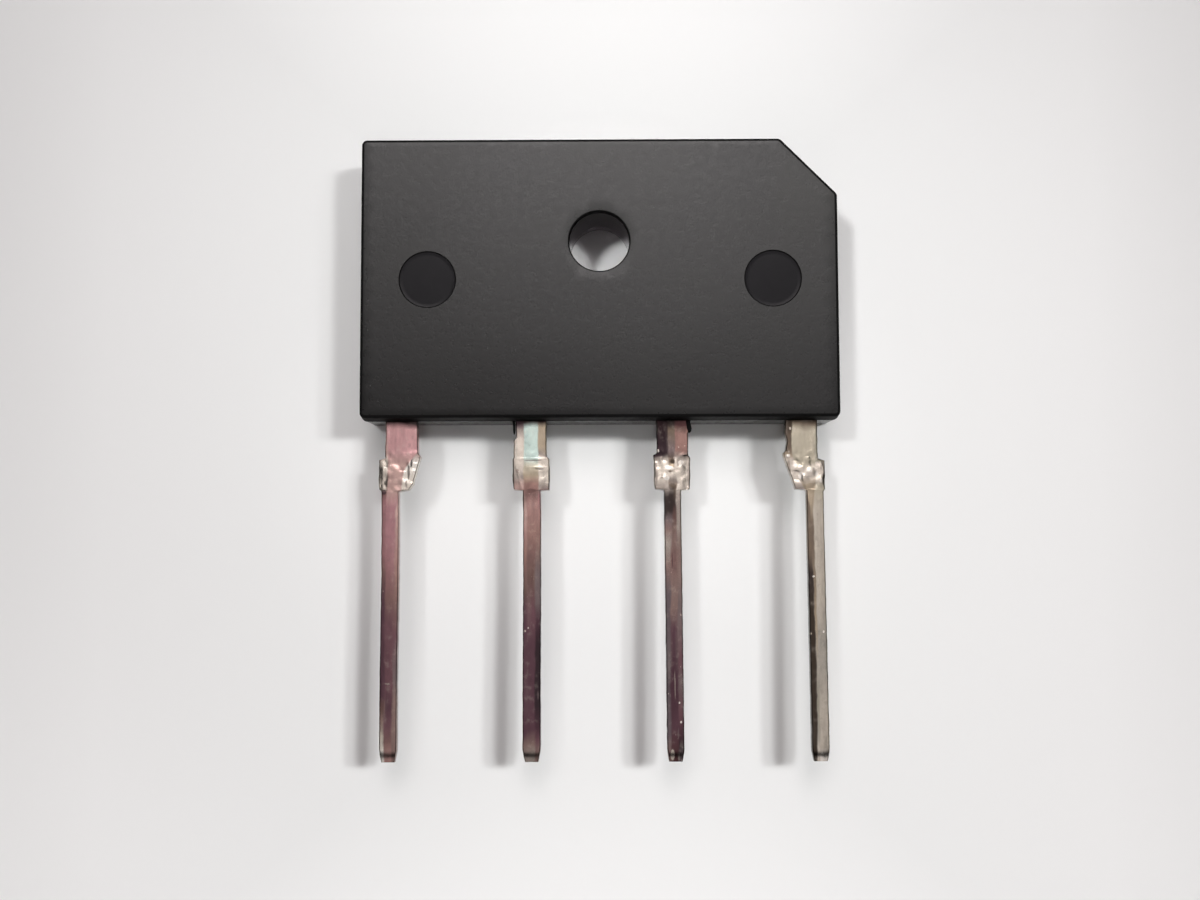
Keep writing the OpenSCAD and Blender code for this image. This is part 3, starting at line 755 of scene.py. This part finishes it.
def lead_materials():
    # each lead's base colour is painted reflection of the surroundings, with painted highlights on tips and collars and
    # painted shade at the roots
    P = {}
    P["lead_negative"] = lead_material(
        "tinned_lead_negative_painted_reflection", -10.972,
        left=[(-26.6, "painted_highlight"), (-25.7, "linen"), (-24.8, "taupe"), (-24.2, "umber"), (-23.6, "plum"), (-18.6, "plum"), (-17.2, "tawny"), (-16.2, "mauve"), (-13.4, "mauve"), (-13.0, "umber"), (-12.8, "cream"), (-11.4, "cream"), (-11.1, "blush"), (-9.7, "rose"), (-9.45, "shade")],
        mid=[(-26.6, "dusk"), (-25.9, "tawny"), (-25.0, "prune"), (-24.2, "plum"), (-23.2, "prune"), (-19.8, "prune"), (-18.6, "tawny"), (-17.0, "mauve"), (-15.2, "petal"), (-13.8, "petal"), (-12.9, "blush"), (-11.6, "blush"), (-10.9, "rose"), (-9.7, "rose"), (-9.45, "shade")],
        right=[(-26.6, "taupe"), (-23.8, "taupe"), (-22.8, "pewter"), (-20.4, "prune"), (-18.8, "tawny"), (-17.6, "copper"), (-16.2, "dusk"), (-14.2, "blush"), (-13.3, "blush"), (-13.0, "stone"), (-12.8, "cream"), (-11.4, "painted_highlight"), (-10.95, "blush"), (-10.7, "rose"), (-9.7, "rose"), (-9.45, "shade")],
        b1=[(-27.0, -0.20), (-14.0, -0.18), (-12.9, -0.16), (-11.3, -0.13), (-11.1, -0.13), (-9.0, -0.12)],
        b2=[(-27.0, 0.20), (-14.0, 0.30), (-12.95, 0.58), (-12.2, 0.68), (-11.75, 0.80), (-11.3, 1.12), (-10.95, 1.42), (-9.0, 1.6)],
        spots=[(-0.30, -13.0, 0.13, 0.14, "ink", 0.85), (-0.02, -22.9, 0.16, 0.05, "stone", 0.7), (-0.16, -24.2, 0.04, 0.5, "taupe", 0.5),
               (0.98, -11.95, 0.07, 0.42, "charcoal", 0.7), (1.12, -11.5, 0.06, 0.2, "ink", 0.7), (0.86, -12.55, 0.06, 0.2, "stone", 0.8), (-0.585, -12.1, 0.035, 0.8, "ink", 0.6)],
        seed=1)
    P["lead_ac_2"] = lead_material(
        "tinned_lead_ac_2_painted_reflection", -3.587,
        left=[(-26.6, "stone"), (-26.0, "taupe"), (-25.4, "plum"), (-22.0, "plum"), (-19.0, "plum"), (-18.2, "umber"), (-17.2, "tawny"), (-16.2, "copper"), (-15.2, "dusk"), (-14.2, "blush"), (-13.2, "taupe"), (-12.8, "blush"), (-12.3, "stone"), (-11.6, "cream"), (-10.6, "cream"), (-9.9, "stone"), (-9.65, "pewter"), (-9.45, "ink")],
        mid=[(-26.6, "stone"), (-26.0, "taupe"), (-25.3, "plum"), (-21.0, "plum"), (-19.2, "prune"), (-17.4, "umber"), (-16.2, "tawny"), (-15.2, "copper"), (-13.8, "dusk"), (-13.2, "tawny"), (-12.7, "copper"), (-12.2, "khaki"), (-11.8, "sand"), (-11.3, "teal"), (-10.2, "teal"), (-9.8, "teal"), (-9.45, "charcoal")],
        right=[(-26.6, "taupe"), (-25.9, "prune"), (-25.2, "mulberry"), (-24.0, "ink"), (-20.9, "ink"), (-19.8, "mulberry"), (-18.8, "pewter"), (-17.2, "pewter"), (-16.2, "taupe"), (-15.2, "copper"), (-14.2, "dusk"), (-13.2, "mauve"), (-12.8, "stone"), (-12.4, "cream"), (-11.4, "cream"), (-11.1, "stone"), (-10.7, "khaki"), (-9.8, "khaki"), (-9.45, "shade")],
        b1=[(-27.0, -0.22), (-14.0, -0.22), (-12.9, -0.40), (-12.0, -0.45), (-11.0, -0.42), (-9.0, -0.42)],
        b2=[(-27.0, 0.20), (-17.0, 0.20), (-12.9, 0.36), (-12.0, 0.36), (-11.2, 0.34), (-9.0, 0.28)],
        spots=[(0.10, -11.36, 0.5, 0.035, "pewter", 0.55), (0.42, -11.80, 0.26, 0.035, "charcoal", 0.65), (-0.95, -12.0, 0.04, 1.0, "charcoal", 0.75), (0.92, -12.2, 0.04, 0.8, "charcoal", 0.7),
               (-0.72, -11.9, 0.10, 0.12, "taupe", 0.5), (-0.30, -20.2, 0.05, 0.07, "cream", 0.6), (-0.15, -20.05, 0.03, 0.05, "painted_highlight", 0.6), (0.36, -23.5, 0.04, 0.25, "pewter", 0.6), (-0.36, -19.4, 0.05, 0.2, "mocha", 0.5),
               (0.0, -12.95, 0.28, 0.12, "mocha", 0.4)],
        seed=2)
    P["lead_ac_1"] = lead_material(
        "tinned_lead_ac_1_painted_reflection", 3.77,
        left=[(-26.6, "taupe"), (-25.6, "lead_grey"), (-23.0, "slate"), (-19.4, "slate"), (-18.4, "lead_grey"), (-16.9, "taupe"), (-15.7, "stone"), (-15.0, "taupe"), (-14.5, "pewter"), (-14.1, "charcoal"), (-13.2, "charcoal"), (-12.85, "stone"), (-12.4, "cream"), (-11.4, "cream"), (-11.15, "stone"), (-11.0, "ink"), (-9.45, "shade")],
        mid=[(-26.6, "mocha"), (-25.2, "plum"), (-23.8, "mulberry"), (-21.6, "mulberry"), (-20.0, "plum"), (-18.9, "taupe"), (-17.6, "taupe"), (-16.6, "tawny"), (-15.4, "taupe"), (-14.4, "umber"), (-13.5, "charcoal"), (-12.75, "bark"), (-12.3, "stone"), (-12.0, "cream"), (-11.7, "khaki"), (-11.4, "bark"), (-10.9, "pewter"), (-9.8, "bark"), (-9.5, "charcoal")],
        right=[(-26.6, "lead_grey"), (-26.1, "ink"), (-25.6, "mulberry"), (-24.4, "prune"), (-22.8, "pewter"), (-21.8, "prune"), (-18.9, "pewter"), (-17.6, "taupe"), (-16.0, "taupe"), (-14.8, "stone"), (-13.2, "stone"), (-12.8, "cream"), (-11.5, "cream"), (-11.15, "stone"), (-10.9, "copper"), (-9.9, "copper"), (-9.6, "umber"), (-9.45, "mocha")],
        b1=[(-27.0, -0.18), (-16.5, -0.12), (-14.6, -0.02), (-13.0, 0.06), (-12.6, -0.20), (-11.9, -0.14), (-11.2, -0.22), (-10.6, -0.26), (-9.0, -0.20)],
        b2=[(-27.0, 0.22), (-19.0, 0.24), (-15.0, 0.20), (-13.0, 0.16), (-12.5, 0.30), (-11.9, 0.14), (-11.2, 0.12), (-10.6, 0.16), (-9.0, 0.14)],
        spots=[(0.02, -11.42, 0.13, 0.13, "dark_bark", 0.85), (-0.12, -11.95, 0.10, 0.06, "bark", 0.7), (0.0, -12.75, 0.22, 0.20, "dark_bark", 0.6), (-0.30, -12.30, 0.16, 0.14, "painted_highlight", 0.8),
               (-0.10, -11.78, 0.26, 0.10, "painted_highlight", 0.75), (0.45, -11.5, 0.16, 0.14, "painted_highlight", 0.7), (0.42, -12.4, 0.16, 0.14, "cream", 0.8), (-0.86, -12.1, 0.10, 0.75, "stone", 0.7), (0.86, -12.1, 0.09, 0.75, "stone", 0.6),
               (-0.74, -10.88, 0.08, 0.08, "painted_highlight", 0.95), (0.87, -9.70, 0.06, 0.16, "shade", 0.9), (0.05, -23.0, 0.035, 0.8, "stone", 0.6), (0.28, -23.9, 0.04, 0.06, "painted_highlight", 0.8), (0.34, -24.9, 0.05, 0.07, "painted_highlight", 0.8),
               (0.20, -25.5, 0.04, 0.3, "pewter", 0.6), (-0.10, -26.55, 0.12, 0.30, "cream", 0.75), (0.24, -26.65, 0.05, 0.22, "stone", 0.7), (-0.05, -16.6, 0.03, 0.45, "mocha", 0.7), (0.12, -15.4, 0.08, 0.3, "taupe", 0.5)],
        seed=3)
    P["lead_positive"] = lead_material(
        "tinned_lead_positive_painted_reflection", 11.19,
        left=[(-26.6, "dark_bark"), (-22.0, "dark_bark"), (-19.0, "dark_bark"), (-17.4, "charcoal"), (-16.2, "bark"), (-14.0, "bark"), (-13.1, "bark"), (-12.85, "stone"), (-12.4, "cream"), (-11.4, "cream"), (-11.1, "khaki"), (-10.8, "bark"), (-9.45, "dark_bark")],
        mid=[(-26.6, "cream"), (-25.8, "fog"), (-24.0, "olive"), (-22.0, "fog"), (-20.0, "khaki"), (-16.0, "bark"), (-14.8, "bark"), (-13.5, "khaki"), (-12.7, "khaki"), (-12.2, "cream"), (-11.8, "cream"), (-11.45, "sand"), (-10.8, "sand"), (-9.8, "sand"), (-9.5, "bark"), (-9.4, "dark_bark")],
        right=[(-26.75, "painted_highlight"), (-26.3, "linen"), (-24.6, "linen"), (-22.0, "fog"), (-20.6, "fog"), (-18.6, "linen"), (-14.0, "linen"), (-12.8, "sand"), (-12.4, "cream"), (-11.5, "cream"), (-11.3, "olive"), (-9.8, "olive"), (-9.5, "bark"), (-9.4, "dark_bark")],
        b1=[(-27.0, -0.10), (-22.0, -0.08), (-20.0, -0.12), (-17.0, -0.20), (-14.0, -0.26), (-13.0, -0.40), (-12.6, -0.70), (-11.5, -1.0), (-11.0, -1.16), (-9.0, -1.18)],
        b2=[(-27.0, 0.03), (-22.0, 0.04), (-20.0, 0.0), (-17.0, -0.08), (-14.0, -0.12), (-12.8, 0.0), (-11.3, 0.08), (-9.0, 0.06)],
        spots=[(-0.72, -12.2, 0.14, 0.22, "painted_highlight", 0.7), (-0.30, -11.95, 0.18, 0.10, "painted_highlight", 0.7), (-1.02, -11.62, 0.12, 0.16, "painted_highlight", 0.6), (-1.38, -11.16, 0.12, 0.09, "painted_highlight", 0.8), (-1.36, -11.9, 0.12, 0.55, "bark", 0.5),
               (0.10, -12.1, 0.10, 0.12, "painted_highlight", 0.6), (0.34, -12.45, 0.10, 0.12, "painted_highlight", 0.6), (-0.20, -12.7, 0.25, 0.10, "khaki", 0.6), (-1.26, -9.75, 0.07, 0.08, "cream", 0.7), (0.34, -11.36, 0.2, 0.04, "charcoal", 0.7),
               (0.50, -12.1, 0.035, 0.55, "pewter", 0.7), (-0.15, -17.45, 0.06, 0.05, "painted_highlight", 0.8), (0.32, -20.3, 0.05, 0.07, "painted_highlight", 0.8), (-0.34, -20.4, 0.05, 0.06, "cream", 0.7), (0.12, -26.6, 0.14, 0.18, "painted_highlight", 0.7)],
        seed=4, soft=0.045)
    return P


# ---------------------------------------------------------------- put it together
body = build_body()
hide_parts("epoxy_body")
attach(body, "root")

lead_mats = lead_materials()
for k, (name, d) in enumerate(LEADS.items()):
    ob = build_lead(name, d, lead_mats[name], k + 1)
    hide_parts(name)
    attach(ob, "root")

copper = plain_metal("bare_copper", srgb(206, 130, 96), srgb(176, 98, 66), 0.28, 300.0, (1.0, 0.1, 1.0))
solder = plain_metal("reflowed_solder", srgb(176, 176, 178), srgb(140, 140, 144), 0.3, 500.0, (1.0, 1.0, 1.0))
silicon = silicon_material()
for name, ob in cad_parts.items():
    if name == "epoxy_body" or name.startswith("lead_"):
        continue
    mt = silicon if name.startswith("diode_chip") else copper if name in ("jumper_ac_1", "jumper_ac_2", "jumper_negative") else solder
    if ob.data.materials:
        for i in range(len(ob.material_slots)):
            ob.material_slots[i].material = mt
    else:
        ob.data.materials.append(mt)

# ---------------------------------------------------------------- floor
S = 0.5
fl = bpy.data.meshes.new("paper_floor")
fl.from_pydata([(-S, -S, -1e-5), (S, -S, -1e-5), (S, S, -1e-5), (-S, S, -1e-5)], [], [(0, 1, 2, 3)])
fl.materials.append(floor_material())
floor = bpy.data.objects.new("paper_floor", fl)
bpy.context.scene.collection.objects.link(floor)

# ---------------------------------------------------------------- lights
# The room as a soft function of direction: (name, azimuth from +X, angle from overhead, inner and outer angle, strength)
SKY_TINT = (1.0, 0.945, 0.945, 1.0)
SKY_UPPER, SKY_LOW = 0.03, 0.12
SKY_LOBES = [
    ("cap", 90, 5, 10, 22, 0.74),
    ("north", 90, 26, 4, 17, 5.9),
    ("south", 270, 46, 8, 22, 0.6),
]
world = bpy.data.worlds.new("studio")
bpy.context.scene.world = world
world.use_nodes = True
wt = world.node_tree


def wmath(op, x, y, clamp=False):
    n = wt.nodes.new("ShaderNodeMath")
    n.operation = op
    n.use_clamp = clamp
    for v, i in ((x, 0), (y, 1)):
        if isinstance(v, (int, float)):
            n.inputs[i].default_value = v
        else:
            wt.links.new(v, n.inputs[i])
    return n


def wstep(v, lo, hi):
    n = wt.nodes.new("ShaderNodeMapRange")
    n.interpolation_type = "SMOOTHSTEP"
    n.inputs["From Min"].default_value = lo
    n.inputs["From Max"].default_value = hi
    wt.links.new(v, n.inputs["Value"])
    return n.outputs["Result"]


wdir = wt.nodes.new("ShaderNodeTexCoord").outputs["Generated"]
wsep = wt.nodes.new("ShaderNodeSeparateXYZ")
wt.links.new(wdir, wsep.inputs[0])
upper = wstep(wsep.outputs[2], 0.10, 0.55)
term = wmath("MULTIPLY", upper, SKY_UPPER)
term.name = "sky_upper"
total = term.outputs[0]
term = wmath("MULTIPLY", wmath("SUBTRACT", 1.0, upper).outputs[0], SKY_LOW)
term.name = "sky_low"
total = wmath("ADD", total, term.outputs[0]).outputs[0]
for lname, az, tilt, inner, outer, strength in SKY_LOBES:
    az, tilt = math.radians(az), math.radians(tilt)
    dot = wt.nodes.new("ShaderNodeVectorMath")
    dot.operation = "DOT_PRODUCT"
    wt.links.new(wdir, dot.inputs[0])
    dot.inputs[1].default_value = (math.cos(az) * math.sin(tilt), math.sin(az) * math.sin(tilt), math.cos(tilt))
    mask = wstep(dot.outputs["Value"], math.cos(math.radians(outer)), math.cos(math.radians(inner)))
    term = wmath("MULTIPLY", mask, strength)
    term.name = "sky_" + lname
    total = wmath("ADD", total, term.outputs[0]).outputs[0]
bg = wt.nodes["Background"]
bg.inputs[0].default_value = SKY_TINT
wt.links.new(total, bg.inputs[1])
# behind the floor's far edge the views see plain pale paper, which lights nothing
backdrop = wt.nodes.new("ShaderNodeBackground")
backdrop.inputs[0].default_value = (1.0, 0.985, 0.99, 1.0)
backdrop.inputs[1].default_value = 0.55
pick = wt.nodes.new("ShaderNodeMixShader")
wt.links.new(wt.nodes.new("ShaderNodeLightPath").outputs["Is Camera Ray"], pick.inputs[0])
wt.links.new(bg.outputs[0], pick.inputs[1])
wt.links.new(backdrop.outputs[0], pick.inputs[2])
wt.links.new(pick.outputs[0], wt.nodes["World Output"].inputs["Surface"])


def aim(ob, target):
    d = (Vector(target) - ob.location)
    ob.rotation_euler = d.to_track_quat("-Z", "Y").to_euler()


def area(name, slope, dist, size, irradiance, colour=(1.0, 1.0, 1.0), target=(0.0, -0.010, 0.003)):
    """A round light towards slope = (x, y) per unit of height. irradiance is what it gives a floor facing it,
    where pi makes white paper fully white."""
    li = bpy.data.lights.new(name, "AREA")
    li.shape = "DISK"
    li.size = size
    li.color = colour
    ob = bpy.data.objects.new(name, li)
    d = Vector((slope[0], slope[1], 1.0)).normalized()
    ob.location = Vector(target) + d * dist
    bpy.context.scene.collection.objects.link(ob)
    aim(ob, target)
    li.energy = irradiance * math.pi * dist * dist
    return ob


def soften(ob):
    """A light that only lights: its mirror image stays out of the metal and the mould skin."""
    ob.visible_glossy = False
    return ob


def spot(name, slope, dist, target, radius, blend, soft, irradiance, colour=(1.0, 1.0, 1.0)):
    """A soft spot whose pool has the given radius at its target."""
    li = bpy.data.lights.new(name, "SPOT")
    li.shadow_soft_size = soft
    li.spot_size = 2 * math.atan(radius / dist)
    li.spot_blend = blend
    li.color = colour
    ob = bpy.data.objects.new(name, li)
    d = Vector((slope[0], slope[1], 1.0)).normalized()
    ob.location = Vector(target) + d * dist
    bpy.context.scene.collection.objects.link(ob)
    aim(ob, target)
    li.energy = irradiance * 4 * math.pi ** 2 * dist * dist
    return ob


KEY_TINT = (1.0, 1.0, 1.0)
key = soften(area("key_right", (0.46, 0.15), 0.9, 0.12, 0.87, KEY_TINT))
key_low = soften(spot("key_right_low", (0.48, 0.16), 0.50, (0.0, -0.032, 0.0), 0.032, 0.5, 0.030, 0.20, KEY_TINT))
key_far = soften(spot("key_right_far", (0.64, 0.18), 0.50, (0.0, -0.040, 0.0), 0.030, 0.5, 0.034, 0.55, KEY_TINT))
fill = soften(spot("fill_left", (-0.32, 0.16), 0.30, (0.0, 0.010, 0.004), 0.024, 0.8, 0.024, 0.86, KEY_TINT))
for i, x in enumerate((-0.0085, 0.0, 0.0085)):
    soften(spot("front_%d" % (i + 1), (0.0, -0.40), 0.25, (x, -0.0106, 0.0), 0.0044, 1.0, 0.008, 0.26, KEY_TINT))
hole_l = soften(spot("hole_from_right", (0.42, 0.16), 0.20, (0.0, 0.0, 0.0046), 0.00175, 0.30, 0.0070, 1.75, KEY_TINT))
hole_r = soften(spot("hole_from_left", (-0.295, 0.15), 0.20, (0.0, 0.0, 0.0046), 0.00175, 0.30, 0.0070, 1.5, KEY_TINT))

# ---------------------------------------------------------------- camera
TILT, ROLL, YAW, DIST, PX_MM, AIM_Y = math.radians(5.17), math.radians(-0.184), math.radians(0.282), 87.53, 19.149, -10.829
back = Vector((math.sin(YAW), -math.sin(TILT) * math.cos(YAW), math.cos(TILT) * math.cos(YAW)))
spot_on = Vector((0.0, AIM_Y, 3.4))
pos = (spot_on + DIST * back) * MM
fwd = -back
right = fwd.cross(Vector((0, 1, 0))).normalized()
up = right.cross(fwd)
r2 = math.cos(ROLL) * right + math.sin(ROLL) * up
u2 = -math.sin(ROLL) * right + math.cos(ROLL) * up
cam = bpy.data.cameras.new("camera")
cam.sensor_width = 36.0
cam.lens = PX_MM * DIST / 1200.0 * 36.0
cam.clip_start = 0.005
cam.clip_end = 5.0
co = bpy.data.objects.new("camera", cam)
bk = -fwd
co.matrix_world = Matrix(((r2.x, u2.x, bk.x, pos.x), (r2.y, u2.y, bk.y, pos.y), (r2.z, u2.z, bk.z, pos.z), (0, 0, 0, 1)))
bpy.context.scene.collection.objects.link(co)
bpy.context.scene.camera = co
bpy.context.scene.view_settings.view_transform = "Standard"
